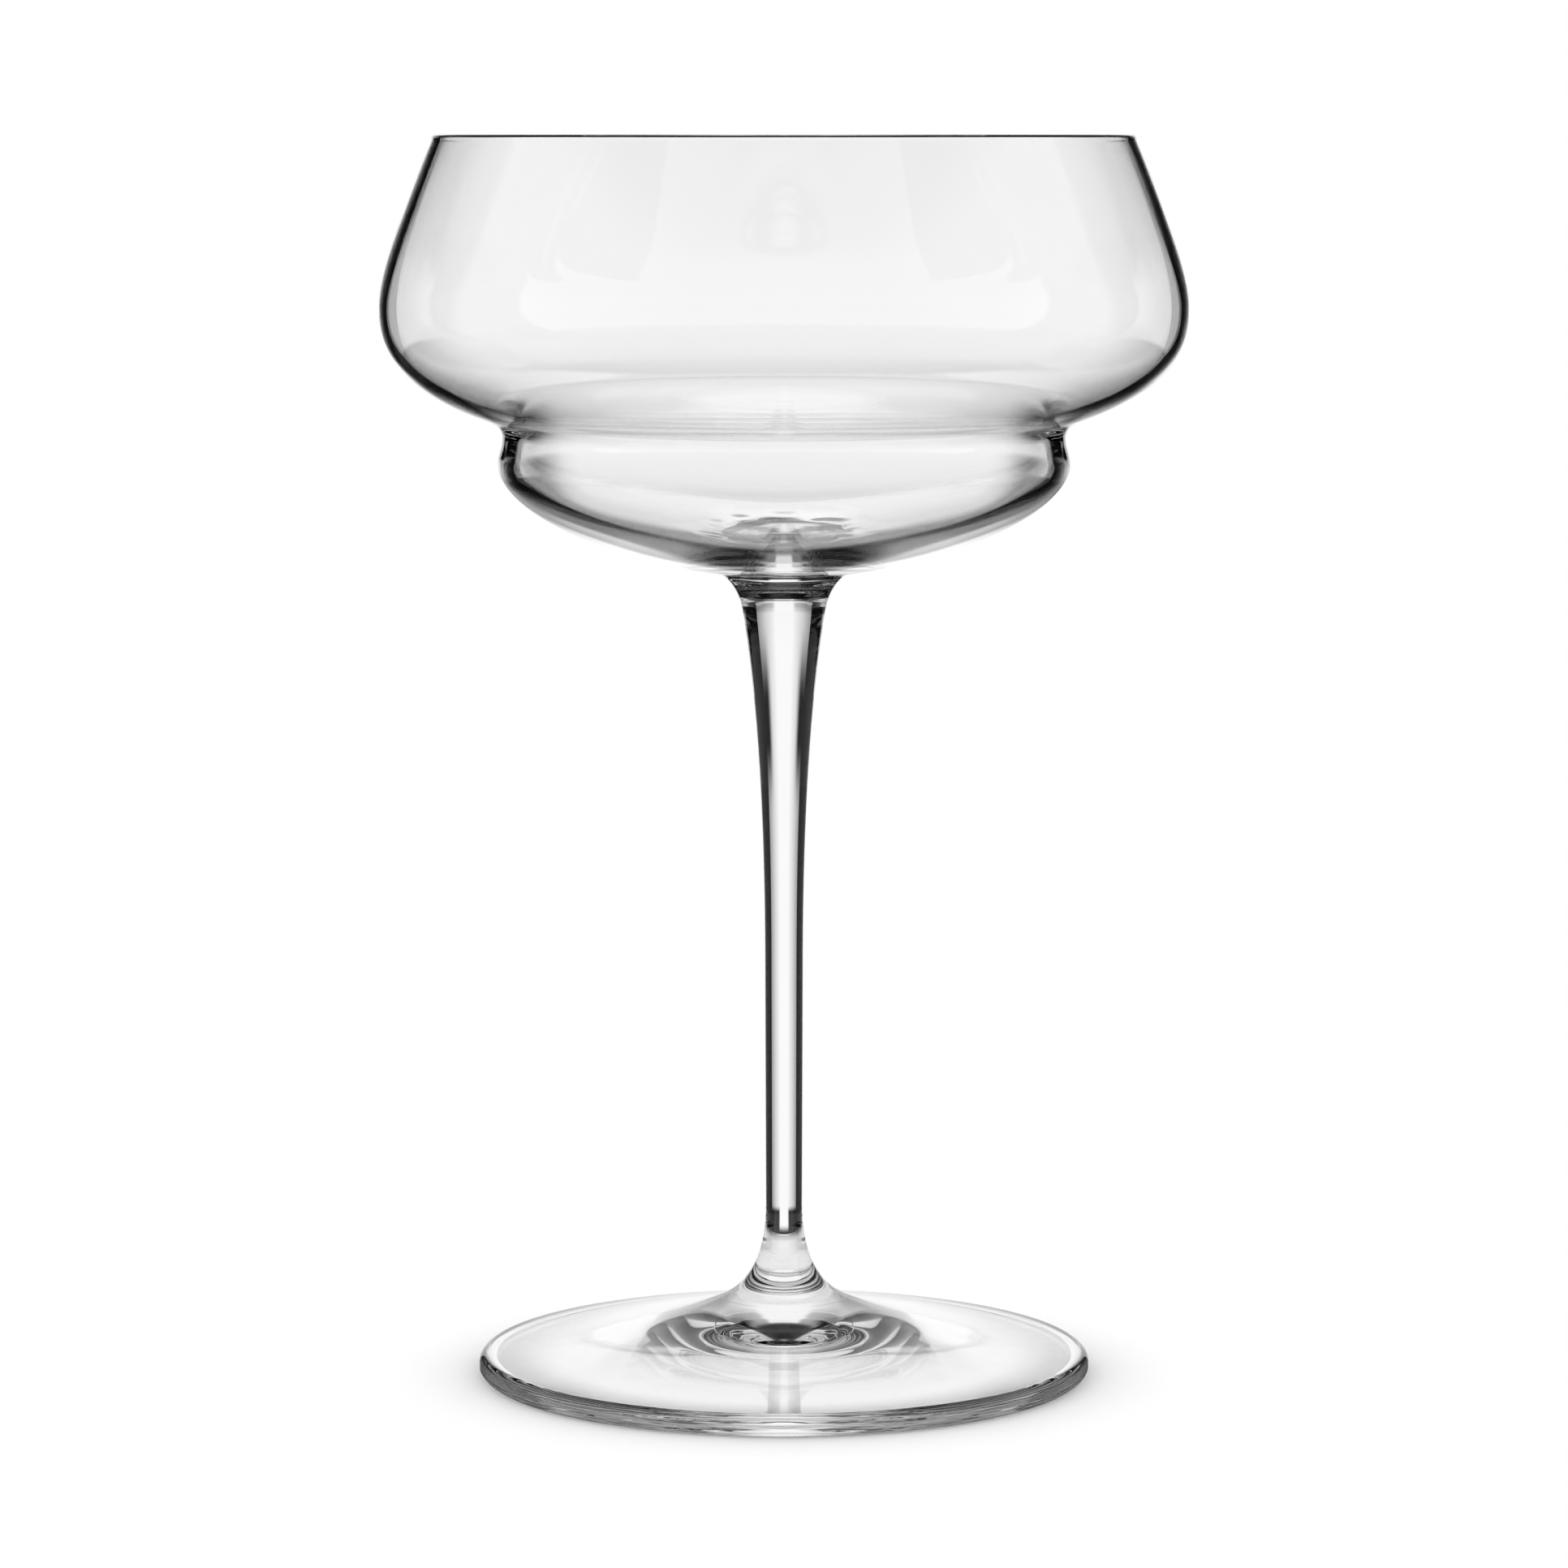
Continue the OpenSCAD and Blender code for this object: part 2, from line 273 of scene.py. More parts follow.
paint, paint_tree = new_material("studio_walls")
towards = add(paint_tree, "ShaderNodeVectorMath", {"operation": "NORMALIZE"},
              {0: add(paint_tree, "ShaderNodeTexCoord").outputs["Object"]})
part = add(paint_tree, "ShaderNodeSeparateXYZ", inputs={0: towards.outputs[0]}).outputs
sideways = add(paint_tree, "ShaderNodeMath", {"operation": "ABSOLUTE"}, {0: part["X"]})
round_angle = add(paint_tree, "ShaderNodeMath", {"operation": "ARCTAN2"}, {0: sideways.outputs[0], 1: part["Y"]})
round_share = add(paint_tree, "ShaderNodeMath", {"operation": "DIVIDE"}, {0: round_angle.outputs[0], 1: math.pi})
up_angle = add(paint_tree, "ShaderNodeMath", {"operation": "ARCSINE"}, {0: part["Z"]})
off_ahead, up = in_degrees(paint_tree, round_angle.outputs[0]), in_degrees(paint_tree, up_angle.outputs[0])

walls = shades_by_angle(paint_tree, round_share.outputs[0], DEEP_SHADES)
for start, end, shades in BANDS:
    walls = add(paint_tree, "ShaderNodeMix", {"data_type": "RGBA"},
                {0: soft_step(paint_tree, up, start, end), 6: walls,
                 7: shades_by_angle(paint_tree, round_share.outputs[0], shades)}).outputs[2]
in_width = soft_step(paint_tree, off_ahead, SHEET_HALF_DEG + SOFT_DEG, SHEET_HALF_DEG - SOFT_DEG)
below_top = soft_step(paint_tree, up, SHEET_TOP_DEG + SOFT_DEG, SHEET_TOP_DEG - SOFT_DEG)
above_foot = soft_step(paint_tree, up, SHEET_FOOT_DEG - SOFT_DEG, SHEET_FOOT_DEG + SOFT_DEG)
on_sheet = multiplied(paint_tree, in_width, multiplied(paint_tree, below_top, above_foot))
painted = add(paint_tree, "ShaderNodeMix", {"data_type": "RGBA"}, {0: on_sheet, 6: walls, 7: linear("#FFFFFF")})

glow = add(paint_tree, "ShaderNodeEmission", inputs={"Color": painted.outputs[2], "Strength": 1.0})
from_matt = add(paint_tree, "ShaderNodeMath", {"operation": "MINIMUM"},
                {0: add(paint_tree, "ShaderNodeLightPath").outputs["Diffuse Depth"], 1: 1.0})
no_wall = add(paint_tree, "ShaderNodeBsdfTransparent")
wall_surface = add(paint_tree, "ShaderNodeMixShader",
                   inputs={0: from_matt.outputs[0], 1: glow.outputs[0], 2: no_wall.outputs[0]})
add(paint_tree, "ShaderNodeOutputMaterial", inputs={"Surface": wall_surface.outputs[0]})
globe.data.materials.append(paint)
print(f"paint: a white sheet {2 * SHEET_HALF_DEG} degrees wide, {len(BANDS) + 1} bands of shades")

# %% [markdown]
# The globe is far away, so each direction has one shade for the whole glass. What darkens only some of
# its heights has to stand near it. Two black cards stand upright on each side, one beside the glass and one
# behind it, and draw the dark outline of the bowl. Behind the waist hangs a black net on each side, which is the
# studio's way to darken without a hard edge: it is dense in its middle and thins out to nothing, so it deepens
# the line in the waist and never shows as a shape in the glass. All of them would be in the picture, so they are
# hidden from the camera, as the globe is.

# %% Black cards and nets
BLACK_HEX = "#0C0C0C"
CARD_FOOT_MM = -60
BESIDE_TOP_MM, BEHIND_TOP_MM = 95, 240
# For each card its top and where its two ends stand, sideways and behind the glass.
BLACK_CARDS_MM = (("behind", BEHIND_TOP_MM, (72, 30), (82, 140)), ("beside", BESIDE_TOP_MM, (72, -40), (72, 30)))
NET_BACK_MM = 140
NET_THIN_X_MM, NET_DENSE_X_MM, NET_END_X_MM = 38, 60, 82
NET_THIN_FOOT_MM, NET_DENSE_FOOT_MM, NET_DENSE_TOP_MM, NET_THIN_TOP_MM = 62, 80, 90, 112

black_card, black_tree = new_material("matt_black_card")
black = add(black_tree, "ShaderNodeBsdfDiffuse", inputs={"Color": linear(BLACK_HEX)})
add(black_tree, "ShaderNodeOutputMaterial", inputs={"Surface": black.outputs[0]})

black_net, net_tree = new_material("black_net")
on_net = add(net_tree, "ShaderNodeSeparateXYZ",
             inputs={0: add(net_tree, "ShaderNodeTexCoord").outputs["Object"]}).outputs
net_side = add(net_tree, "ShaderNodeMath", {"operation": "ABSOLUTE"}, {0: on_net["X"]}).outputs[0]
dense_side = soft_step(net_tree, net_side, NET_THIN_X_MM * MM, NET_DENSE_X_MM * MM)
dense_low = soft_step(net_tree, on_net["Z"], NET_THIN_TOP_MM * MM, NET_DENSE_TOP_MM * MM)
dense_high = soft_step(net_tree, on_net["Z"], NET_THIN_FOOT_MM * MM, NET_DENSE_FOOT_MM * MM)
density = multiplied(net_tree, dense_side, multiplied(net_tree, dense_low, dense_high))
holes = add(net_tree, "ShaderNodeBsdfTransparent")
threads = add(net_tree, "ShaderNodeBsdfDiffuse", inputs={"Color": linear(BLACK_HEX)})
net_surface = add(net_tree, "ShaderNodeMixShader", inputs={0: density, 1: holes.outputs[0], 2: threads.outputs[0]})
add(net_tree, "ShaderNodeOutputMaterial", inputs={"Surface": net_surface.outputs[0]})


def upright_card(name, ends, low, high, material):
    mesh = bpy.data.meshes.new(name)
    mesh.from_pydata([(x * MM, y * MM, z * MM) for x, y in ends for z in (low, high)], [], [(0, 1, 3, 2)])
    mesh.materials.append(material)
    hung = bpy.data.objects.new(name, mesh)
    scene.collection.objects.link(hung)
    hang_from_camera(hung)


for side_name, side in (("left", -1), ("right", 1)):
    for card_name, card_top, *card_ends in BLACK_CARDS_MM:
        upright_card(f"black_card_{card_name}_{side_name}", [(side * x, y) for x, y in card_ends],
                     CARD_FOOT_MM, card_top, black_card)
    upright_card("black_net_" + side_name, [(side * x, NET_BACK_MM) for x in (NET_THIN_X_MM, NET_END_X_MM)],
                 NET_THIN_FOOT_MM, NET_THIN_TOP_MM, black_net)
print(f"round the glass: {2 * len(BLACK_CARDS_MM)} black cards and 2 black nets")

# %% [markdown]
# A soft box hangs over the glass for the floor and its shadow. It is large and close, so the shadow is soft.

# %% Soft box
SOFT_BOX_MM = 900
SOFT_BOX_W = 0.3
SOFT_BOX_PLACE_MM = (-350, -150, 900)

soft_box_data = bpy.data.lights.new("soft_box", "AREA")
soft_box_data.size = SOFT_BOX_MM * MM
soft_box_data.energy = SOFT_BOX_W
soft_box = bpy.data.objects.new("soft_box", soft_box_data)
soft_box.location = Vector(SOFT_BOX_PLACE_MM) * MM
soft_box.rotation_euler = (-soft_box.location).to_track_quat("-Z", "Y").to_euler()
soft_box.visible_camera = False
soft_box.visible_glossy = False
soft_box.visible_transmission = False
scene.collection.objects.link(soft_box)
print(f"soft box: {SOFT_BOX_MM} mm square, {soft_box.location.length / MM:.0f} mm from the foot")

# %% [markdown]
# All three pieces are bodies of revolution, so each is one outline turned about the axis. The
# outlines are made of the same few kinds of curve as the solids: a bend that touches two straight lines, the
# quarter of a superellipse for the full, rounded undersides, and circular arcs for the rim and the edge.
# Lengths are in millimetres here, and become metres only when the mesh is made.

# %% Curves
CURVE_STEPS = 44
LIP_STEPS = 24


def mix(a, b, t):
    return (a[0] + (b[0] - a[0]) * t, a[1] + (b[1] - a[1]) * t)


def spaced(start, end, steps=CURVE_STEPS):
    return [start + (end - start) * i / steps for i in range(steps + 1)]


def bend(a, corner, b):
    """From a to b, touching the lines a-corner and corner-b."""
    return [mix(mix(a, corner, t), mix(corner, b, t), t) for t in spaced(0, 1)]


def underside_point(widest, depth, power, angle):
    """A point of a superellipse: power 2 is an ellipse, and a higher one is fuller in its corner."""
    return (widest[0] * max(math.cos(angle), 0) ** (2 / power),
            widest[1] - depth * max(math.sin(angle), 0) ** (2 / power))


def underside_angle(widest_r, power, r):
    return math.acos((r / widest_r) ** (power / 2))


def underside(widest, depth, power, start, end):
    return [underside_point(widest, depth, power, angle) for angle in spaced(start, end)]


def arc(centre, radius, start, end, steps=CURVE_STEPS):
    return [(centre[0] + radius * math.cos(angle), centre[1] + radius * math.sin(angle))
            for angle in spaced(start, end, steps)]


def on_line(point, slope, r):
    return (r, point[1] + slope * (r - point[0]))


def ease(t):
    """From 0 to 1, slow at both ends."""
    return (1 - math.cos(math.pi * t)) / 2


print(f"curves: {CURVE_STEPS} steps each")

# %% [markdown]
# The bowl is blown into a mould: the wall leans outwards from the rim down to a rounded shoulder, turns under to
# a pinched waist, and a smaller chamber follows, whose floor sits on the stem. All of it is one outline from the
# rim to the joint, made of the curves above. Soft glass has no true creases, so the outline is softened.

# %% Outer outline of the bowl
rim_d, chamber_d, chamber_drop, wall_h = 89.6, 103.3, 21.8, 13.6
underside_depth, underside_power = 18.8, 2.44
waist_d, waist_drop, waist_bend, bulge_out = 71.9, 3.5, 1.5, 0.7
bottom_depth, bottom_power = 14.5, 1.775
rim_wall, bowl_joint_d = 1.2, 16.6
wall_gain_share, shoulder_share = 0.728, 0.66
soften_reach = 1.6
SOFTEN_STEPS = 5

rim_r, chamber_r, waist_r = rim_d / 2, chamber_d / 2, waist_d / 2
wall_end = (rim_r + wall_gain_share * (chamber_r - rim_r), glass_h - wall_h)
widest = (chamber_r, glass_h - chamber_drop)
shoulder_corner = (chamber_r, wall_end[1] - shoulder_share * (chamber_drop - wall_h))
wall_slope = (wall_end[1] - shoulder_corner[1]) / (wall_end[0] - shoulder_corner[0])
wall_corner = on_line(wall_end, wall_slope, wall_end[0] + wall_h / 2 / wall_slope)

rim_round = rim_wall / 2
rim_lean = math.atan((wall_corner[0] - rim_r) / (glass_h - wall_corner[1]))
rim_centre = (rim_r - rim_round * math.cos(rim_lean), glass_h - rim_round)
lip = arc(rim_centre, rim_round, rim_lean, rim_lean + math.pi, LIP_STEPS)

waist_angle = underside_angle(chamber_r, underside_power, waist_r + waist_bend)
waist_start = underside_point(widest, underside_depth, underside_power, waist_angle)
underside_slope = underside_depth / chamber_r * (
    waist_start[0] / chamber_r * underside_depth / (widest[1] - waist_start[1])) ** (underside_power - 1)
waist_corner = on_line(waist_start, underside_slope, waist_r)
waist = (waist_r, waist_corner[1] - waist_bend)
bulge = (waist_r + bulge_out, waist[1] - waist_drop)
bowl_joint_angle = underside_angle(bulge[0], bottom_power, bowl_joint_d / 2)
bowl_joint = underside_point(bulge, bottom_depth, bottom_power, bowl_joint_angle)

pinch = [(waist_r + bulge_out * ease(t), waist[1] - waist_drop * t) for t in spaced(0, 1)]
wall_to_joint = (bend(lip[0], wall_corner, wall_end)
                 + bend(wall_end, shoulder_corner, widest)[1:]
                 + underside(widest, underside_depth, underside_power, 0, waist_angle)[1:]
                 + bend(waist_start, waist_corner, waist)[1:]
                 + pinch[1:]
                 + underside(bulge, bottom_depth, bottom_power, 0, bowl_joint_angle)[1:])
under_joint = underside(bulge, bottom_depth, bottom_power, bowl_joint_angle, math.pi / 2)[1:]


def distances(points):
    """How far along an outline each of its points lies."""
    runs = [0.0]
    for a, b in zip(points, points[1:]):
        runs.append(runs[-1] + math.dist(a, b))
    return runs


def softened(points, reach):
    """The outline with each point moved to the weighted middle of its surroundings, and the ends kept."""
    runs = distances(points)

    def at(place):
        after = min(max(bisect.bisect_left(runs, place), 1), len(runs) - 1)
        return mix(points[after - 1], points[after], (place - runs[after - 1]) / (runs[after] - runs[after - 1]))

    soft = []
    shares = [k / SOFTEN_STEPS for k in range(1 - SOFTEN_STEPS, SOFTEN_STEPS)]
    weights = [1 + math.cos(math.pi * share) for share in shares]
    for run in runs:
        near = min(reach, run, runs[-1] - run)
        places = [(at(run + near * share), weight / sum(weights)) for share, weight in zip(shares, weights)]
        soft.append((sum(p[0] * w for p, w in places), sum(p[1] * w for p, w in places)))
    return soft


full_wall = softened(wall_to_joint + under_joint, soften_reach)
outer_wall = full_wall[:len(wall_to_joint) - 1] + [bowl_joint]
print(f"outer wall: {len(outer_wall)} points, widest at {max(r for r, _ in outer_wall):.2f} mm")

# %% [markdown]
# Blown glass is thin where it was blown out far and thick near the stem. So the inner outline isn't drawn: it is
# set off from the outer one by a thickness, which is known at a few places and eases from each to the next.

# %% Inner outline of the bowl
shoulder_wall, underside_wall, waist_wall, bulge_wall, bottom_wall, floor_wall = 1.25, 1.3, 1.9, 2.0, 2.2, 2.2
# Each thickness holds where so many of the outline's curves have ended.
thicknesses = ((0, rim_wall), (2, shoulder_wall), (3, underside_wall), (4, waist_wall), (5, bulge_wall),
               (5.75, bottom_wall), (7, floor_wall))
wall_run = distances(full_wall)
stations = [(wall_run[round(curves * CURVE_STEPS)], wall) for curves, wall in thicknesses]


def thickness(run):
    for (start, here), (end, there) in zip(stations, stations[1:]):
        if run <= end:
            break
    return here + (there - here) * ease((run - start) / (end - start))


inner_wall = []
for i in range(1, len(full_wall)):
    before, after = full_wall[i - 1], full_wall[min(i + 1, len(full_wall) - 1)]
    apart = math.dist(before, after)
    wall = thickness(wall_run[i])
    inner_wall.append((full_wall[i][0] + wall * (after[1] - before[1]) / apart,
                       full_wall[i][1] - wall * (after[0] - before[0]) / apart))
inner_wall[-1] = (0.0, inner_wall[-1][1])
inner_wall = softened(inner_wall, soften_reach)
bowl_outline = inner_wall[::-1] + lip[:0:-1] + outer_wall + [(0, bowl_joint[1])]
print(f"bowl: {len(bowl_outline)} points, joint at {bowl_joint[1]:.2f} mm, floor at {inner_wall[-1][1]:.2f} mm")

# %% [markdown]
# The stem was drawn out of a hot gather, so it has no straight stretch at first: it tapers for a long way
# from the bowl, thins to its least just above the foot, and flares in a trumpet where it was set on the foot.
# The slopes are sideways per upwards in the throat, and upwards per sideways in the trumpet.

# %% Outline of the stem
stem_d, throat_d, throat_h, taper_h = 4.7, 10.4, 5.4, 46.0
throat_slope, throat_lip_h, stem_swell = 0.16, 1.4, 0.1
foot_joint_d, foot_joint_h, trumpet_h, trumpet_slope = 16.0, 10.0, 12.4, 2.2

stem_r = stem_d / 2
throat = (throat_d / 2, bowl_joint[1] - throat_h)
throat_corner_h = throat_h - throat_lip_h
throat_corner = (throat[0] + throat_slope * throat_corner_h, throat[1] + throat_corner_h)
taper_r = stem_r + stem_swell
taper_corner = (taper_r, throat[1] - (throat[0] - taper_r) / throat_slope)
taper_end = (taper_r, throat[1] - taper_h)
foot_joint = (foot_joint_d / 2, foot_joint_h)
trumpet_start = (stem_r, foot_joint_h + trumpet_h)
trumpet_corner = (stem_r, foot_joint_h + (foot_joint[0] - stem_r) / trumpet_slope)

stem_outline = ([(0, bowl_joint[1])]
                + bend(bowl_joint, throat_corner, throat)
                + bend(throat, taper_corner, taper_end)[1:]
                + bend(trumpet_start, trumpet_corner, foot_joint)
                + [(0, foot_joint_h)])
print(f"stem: {len(stem_outline)} points, {stem_outline[0][1] - foot_joint_h:.2f} mm between its joints")

# %% [markdown]
# The foot was pressed and then fire-polished: a low boss takes up the stem's trumpet and runs out in a shallow
# cone to a fully rounded edge. The underside follows it, so the plate has nearly one thickness and one sees
# straight through it, and only a narrow ring touches the table.

# %% Outline of the foot
foot_d, edge_h, rest_w, plate_h, hollow_h = 79.4, 3.0, 1.0, 3.0, 4.0
boss_r, cone_r, cone_corner, hollow_r = 11.0, 16.0, (24.0, 4.9), 12.0

boss_corner = (boss_r, foot_joint_h - (boss_r - foot_joint[0]) / trumpet_slope)
cone_slope = (cone_corner[1] - boss_corner[1]) / (cone_corner[0] - boss_r)
cone_start = on_line(boss_corner, cone_slope, cone_r)
edge_round = edge_h / 2
edge_centre = (foot_d / 2 - edge_round, edge_round)
edge_tilt = (math.atan2(edge_centre[1] - cone_corner[1], edge_centre[0] - cone_corner[0])
             + math.asin(edge_round / math.dist(edge_centre, cone_corner)))
cone_end = (edge_centre[0] - edge_round * math.sin(edge_tilt),
            edge_centre[1] + edge_round * math.cos(edge_tilt))
rest_r = edge_centre[0] - rest_w
under_corner = (cone_corner[0], cone_corner[1] - plate_h)
hollow_corner = (hollow_r, hollow_h)
under_middle = mix(under_corner, hollow_corner, 0.5)

foot_outline = ([(0, foot_joint_h)]
                + bend(foot_joint, boss_corner, cone_start)
                + bend(cone_start, cone_corner, cone_end)[1:]
                + arc(edge_centre, edge_round, edge_tilt + math.pi / 2, -math.pi / 2)[1:]
                + bend((rest_r, 0), under_corner, under_middle)
                + bend(under_middle, hollow_corner, (0, hollow_h))[1:])
print(f"foot: {len(foot_outline)} points, rests on a ring {2 * rest_r:.1f} mm across")

# %% [markdown]
# A lathe in Geometry Nodes turns any of these outlines into a solid. The outline goes in as a chain of points
# in the XZ plane. A grid gets one column for each step of the turn and one row for each point of
# the outline, and every grid point is moved to the place of its outline point, turned by its column's angle.
# Merging closes the seam and the two poles. The faces in the plane of a joint get a second
# material, because the real glass is fused there and shows no wall.

# %% The lathe
MERGE_MM = 0.0005
SHARP_DEG = 40
TURN_STEPS = 192


def lathe_tree():
    tree = bpy.data.node_groups.new("lathe", "GeometryNodeTree")
    sockets = {}
    for name, kind, way in (("Outline", "Geometry", "INPUT"), ("Turn steps", "Int", "INPUT"),
                            ("Upper joint height", "Float", "INPUT"), ("Lower joint height", "Float", "INPUT"),
                            ("Glass", "Material", "INPUT"), ("Joint", "Material", "INPUT"),
                            ("Solid", "Geometry", "OUTPUT")):
        sockets[name] = tree.interface.new_socket(name=name, in_out=way, socket_type="NodeSocket" + kind)
    given = add(tree, "NodeGroupInput").outputs
    count = add(tree, "GeometryNodeAttributeDomainSize", inputs={0: given["Outline"]}).outputs["Point Count"]
    columns = add(tree, "ShaderNodeMath", {"operation": "ADD"}, {0: given["Turn steps"], 1: 1.0})
    grid = add(tree, "GeometryNodeMeshGrid", inputs={"Vertices X": columns.outputs[0], "Vertices Y": count})
    index = add(tree, "GeometryNodeInputIndex").outputs[0]
    row = add(tree, "ShaderNodeMath", {"operation": "FLOORED_MODULO"}, {0: index, 1: count})
    column_share = add(tree, "ShaderNodeMath", {"operation": "DIVIDE"}, {0: index, 1: count})
    column = add(tree, "ShaderNodeMath", {"operation": "FLOOR"}, {0: column_share.outputs[0]})
    turn_share = add(tree, "ShaderNodeMath", {"operation": "DIVIDE"},
                     {0: column.outputs[0], 1: given["Turn steps"]})
    turn = multiplied(tree, turn_share.outputs[0], 2 * math.pi)
    place = add(tree, "GeometryNodeInputPosition").outputs[0]
    point = add(tree, "GeometryNodeSampleIndex", {"data_type": "FLOAT_VECTOR"},
                {"Geometry": given["Outline"], "Value": place, "Index": row.outputs[0]})
    point_xyz = add(tree, "ShaderNodeSeparateXYZ", inputs={0: point.outputs[0]}).outputs
    cosine, sine = (add(tree, "ShaderNodeMath", {"operation": kind}, {0: turn}).outputs[0]
                    for kind in ("COSINE", "SINE"))
    turned = add(tree, "ShaderNodeCombineXYZ",
                 inputs={"X": multiplied(tree, point_xyz["X"], cosine),
                         "Y": multiplied(tree, point_xyz["X"], sine), "Z": point_xyz["Z"]})
    wrapped = add(tree, "GeometryNodeSetPosition",
                  inputs={"Geometry": grid.outputs["Mesh"], "Position": turned.outputs[0]})
    closed = add(tree, "GeometryNodeMergeByDistance",
                 inputs={"Geometry": wrapped.outputs[0], "Distance": MERGE_MM * MM})
    facing = add(tree, "GeometryNodeFlipFaces", inputs={"Mesh": closed.outputs[0]})
    smooth = add(tree, "GeometryNodeSetShadeSmooth", inputs={"Geometry": facing.outputs[0]})
    edge_angle = add(tree, "GeometryNodeInputMeshEdgeAngle").outputs["Unsigned Angle"]
    sharp = add(tree, "FunctionNodeCompare", {"operation": "GREATER_THAN"},
                {"A": edge_angle, "B": math.radians(SHARP_DEG)})
    creased = add(tree, "GeometryNodeSetShadeSmooth", {"domain": "EDGE"},
                  {"Geometry": smooth.outputs[0], "Selection": sharp.outputs[0], "Shade Smooth": False})
    height = add(tree, "ShaderNodeSeparateXYZ", inputs={0: place}).outputs["Z"]
    at_joint = []
    for name in ("Upper joint height", "Lower joint height"):
        at_joint.append(add(tree, "ShaderNodeMath", {"operation": "COMPARE"},
                            {0: height, 1: given[name], 2: MERGE_MM * MM}).outputs[0])
    either = add(tree, "ShaderNodeMath", {"operation": "MAXIMUM"}, {0: at_joint[0], 1: at_joint[1]})
    real = add(tree, "GeometryNodeRealizeInstances", inputs={0: creased.outputs[0]})
    glazed = add(tree, "GeometryNodeSetMaterial",
                 inputs={"Geometry": real.outputs[0], "Material": given["Glass"]})
    fused = add(tree, "GeometryNodeSetMaterial",
                inputs={"Geometry": glazed.outputs[0], "Selection": either.outputs[0], "Material": given["Joint"]})
    add(tree, "NodeGroupOutput", inputs={"Solid": fused.outputs[0]})
    return tree, {name: socket.identifier for name, socket in sockets.items()}


lathe, lathe_inputs = lathe_tree()
print(f"lathe: {len(lathe.nodes)} nodes, {TURN_STEPS} steps to a turn")

# %% [markdown]
# An outline becomes a solid in one go: it is made a chain of points with the lathe as its modifier, the
# evaluated result is taken as a plain mesh, and the outline is thrown away with its modifier. The modifier's
# inputs are set by their identifiers, before it runs for the first time.

# %% Turning a piece
def drop_empty_slot(mesh):
    """The grid comes with an empty first material slot, which nothing uses."""
    used = [face.material_index for face in mesh.polygons]
    mesh.materials.pop(index=0)
    mesh.polygons.foreach_set("material_index", [index - 1 for index in used])


def turn_on_lathe(name, outline, upper_joint, lower_joint, glass, joint):
    mesh = bpy.data.meshes.new(name + "_outline")
    mesh.from_pydata([(r * MM, 0, z * MM) for r, z in outline],
                     [(i, i + 1) for i in range(len(outline) - 1)], [])
    blank = bpy.data.objects.new(name + "_outline", mesh)
    scene.collection.objects.link(blank)
    modifier = blank.modifiers.new("lathe", "NODES")
    modifier.node_group = lathe
    for input_name, value in (("Turn steps", TURN_STEPS), ("Upper joint height", upper_joint * MM),
                              ("Lower joint height", lower_joint * MM), ("Glass", glass), ("Joint", joint)):
        modifier[lathe_inputs[input_name]] = value
    bpy.context.view_layer.update()
    made = blank.evaluated_get(bpy.context.evaluated_depsgraph_get())
    solid = bpy.data.objects.new(name, bpy.data.meshes.new_from_object(made))
    solid.data.name = name
    scene.collection.objects.link(solid)
    bpy.data.objects.remove(blank)
    drop_empty_slot(solid.data)
    low = [round(min(v.co[i] for v in solid.data.vertices) / MM, 2) for i in range(3)]
    high = [round(max(v.co[i] for v in solid.data.vertices) / MM, 2) for i in range(3)]
    print(f"{name}: {len(solid.data.polygons)} faces, from {low} to {high} mm,"
          f" materials {[m.name for m in solid.data.materials]}")
    return solid

# %% [markdown]
# The glass is plain soda-lime glass, melted clear and fire-polished, so it is as smooth as glass gets: no
# roughness, an index of refraction of 1.52, and all light let through. What shows that it was made by hand is a
# faint waviness, left by the tools while the glass was soft. It is far too shallow to model, but it bends
# the dark reflections, so it is a bump.
#
# On top of that come marks where the glass was worked most. They are the same kind of bump, kept to where they
# belong by the distance from the axis: lumps on the floor of the bowl, where it was drawn down to the stem, fine
# rings in both trumpets of the stem, where it was turned while hot, and streaks along the edge of the foot, from
# the parting of the mould. Squashing the noise in height is what makes rings and streaks out of lumps.

# %% Glass
GLASS_IOR = 1.52
LUMPS_END_MM = 2


def add_lumps(tree, place, waviness, lump_mm, depth_mm, full_r_mm, no_r_mm, squash=1.0, top_mm=None):
    """Lumps between two distances from the axis, and below a height if one is given, on top of the waviness."""
    flat = add(tree, "ShaderNodeVectorMath", {"operation": "MULTIPLY"}, {0: place, 1: (1, 1, 0)})
    from_axis = add(tree, "ShaderNodeVectorMath", {"operation": "LENGTH"}, {0: flat.outputs[0]}).outputs["Value"]
    share = soft_step(tree, from_axis, no_r_mm * MM, full_r_mm * MM)
    if top_mm:
        height = add(tree, "ShaderNodeSeparateXYZ", inputs={0: place}).outputs["Z"]
        share = multiplied(tree, share, soft_step(tree, height, top_mm * MM, (top_mm - LUMPS_END_MM) * MM))
    squashed = add(tree, "ShaderNodeMapping", inputs={"Vector": place, "Scale": (1, 1, squash)})
    noise = add(tree, "ShaderNodeTexNoise",
                inputs={"Vector": squashed.outputs[0], "Scale": 1 / (lump_mm * MM), "Detail": 0.0})
    return add(tree, "ShaderNodeBump",
               inputs={"Height": multiplied(tree, share, noise.outputs["Fac"]), "Strength": 1.0,
                       "Distance": depth_mm * MM, "Normal": waviness.outputs[0]})


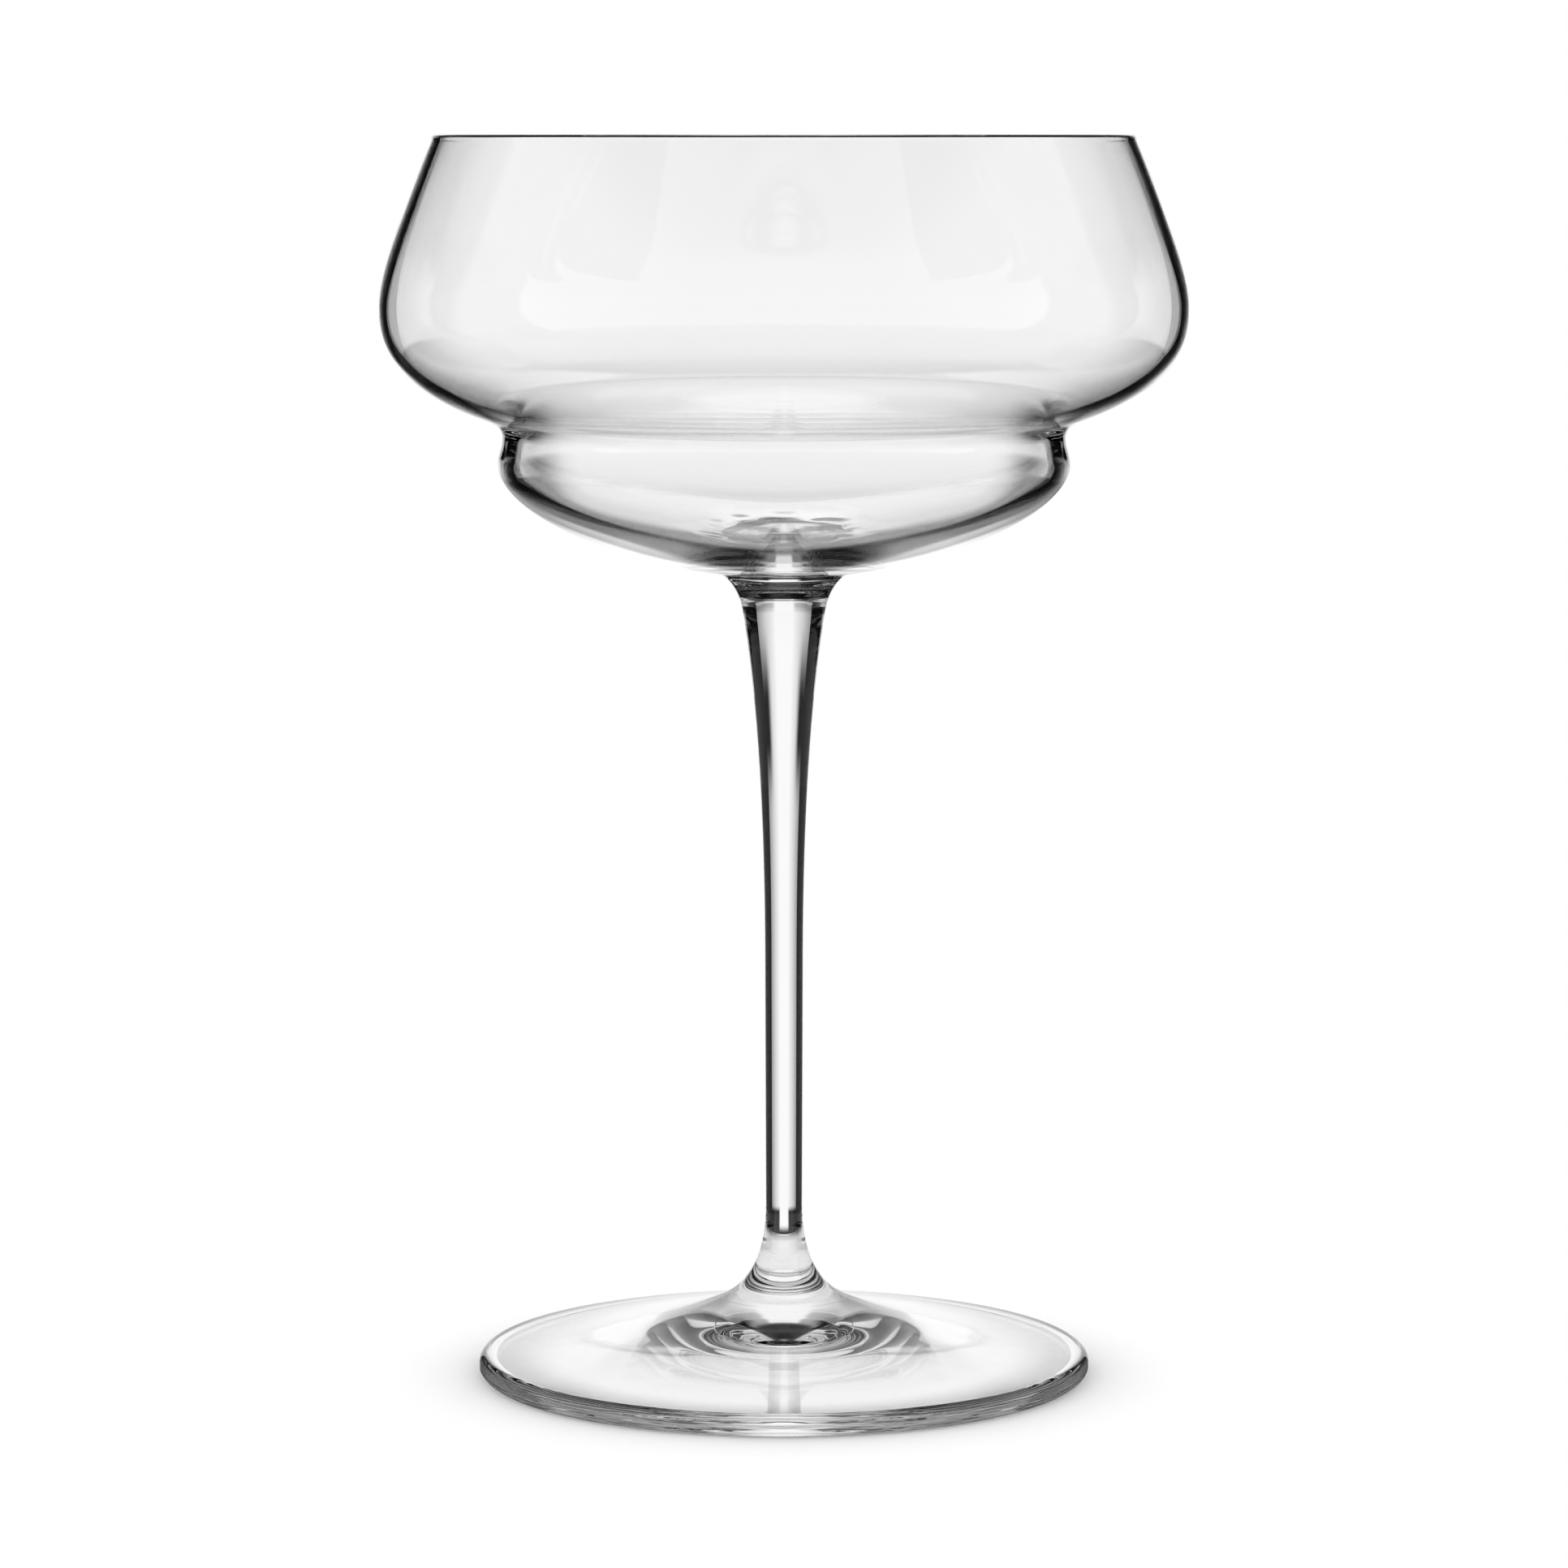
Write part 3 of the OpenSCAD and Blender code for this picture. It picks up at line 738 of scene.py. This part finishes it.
def clear_glass(name, wave_mm, wave_depth_mm, lumps, along=(1, 1, 1)):
    material, tree = new_material(name)
    place = add(tree, "ShaderNodeTexCoord").outputs["Object"]
    stretched = add(tree, "ShaderNodeMapping", inputs={"Vector": place, "Scale": along})
    waves = add(tree, "ShaderNodeTexNoise",
                inputs={"Vector": stretched.outputs[0], "Scale": 1 / (wave_mm * MM), "Detail": 1.0})
    waviness = add(tree, "ShaderNodeBump",
                   inputs={"Height": waves.outputs["Fac"], "Strength": 1.0, "Distance": wave_depth_mm * MM})
    bump = add_lumps(tree, place, waviness, **lumps)
    glass = add(tree, "ShaderNodeBsdfPrincipled",
                inputs={"Base Color": linear("#FFFFFF"), "Roughness": 0.0, "IOR": GLASS_IOR,
                        "Transmission Weight": 1.0, "Normal": bump.outputs[0]})
    add(tree, "ShaderNodeOutputMaterial", inputs={"Surface": glass.outputs[0]})
    print(f"{name}: waves of {wave_mm} mm, {wave_depth_mm} mm deep, lumps of {lumps['lump_mm']} mm,"
          f" {lumps['depth_mm']} mm deep")
    return material


blown_glass = clear_glass("blown_soda_lime_glass", wave_mm=18, wave_depth_mm=0.02,
                          lumps={"lump_mm": 5, "depth_mm": 0.5, "full_r_mm": 7, "no_r_mm": 14, "top_mm": 110})
drawn_glass = clear_glass("drawn_soda_lime_glass", wave_mm=3, wave_depth_mm=0.003, along=(1, 1, 0.15),
                          lumps={"lump_mm": 20, "depth_mm": 0.1, "full_r_mm": 6.5, "no_r_mm": 5.3, "squash": 30})
pressed_glass = clear_glass("pressed_soda_lime_glass", wave_mm=9, wave_depth_mm=0.015,
                            lumps={"lump_mm": 6, "depth_mm": 0.05, "full_r_mm": 38.7, "no_r_mm": 37.7,
                                   "squash": 10})

# %% [markdown]
# Where two gathers are fused there is no surface any more, so light goes straight on. Each piece is a closed
# solid for its own sake, and the disc in which it meets the next one gets this clear material, in the place of
# glass that would show a wall inside the stem.

# %% Fused joint
fused_joint, joint_tree = new_material("fused_joint")
through = add(joint_tree, "ShaderNodeBsdfTransparent")
add(joint_tree, "ShaderNodeOutputMaterial", inputs={"Surface": through.outputs[0]})
print(f"joints at {bowl_joint[1]:.2f} and {foot_joint_h:.2f} mm")

# %% [markdown]
# Now the lathe turns the three outlines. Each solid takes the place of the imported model's piece of the same
# kind, rides on its only body, and keeps its glass in a material slot of its own name.

# %% Bowl, stem and foot
pieces = (("bowl", bowl_outline, bowl_joint[1], bowl_joint[1], blown_glass),
          ("stem", stem_outline, bowl_joint[1], foot_joint_h, drawn_glass),
          ("foot", foot_outline, foot_joint_h, foot_joint_h, pressed_glass))
for node, outline, upper, lower, glass in pieces:
    solid = turn_on_lathe("glass_" + node, outline, upper, lower, glass, fused_joint)
    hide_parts(node)
    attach(solid, "root")

# %% [markdown]
# The picture shows the colours as they are, without a film look.

# %% Settings
scene.view_settings.view_transform = "Standard"
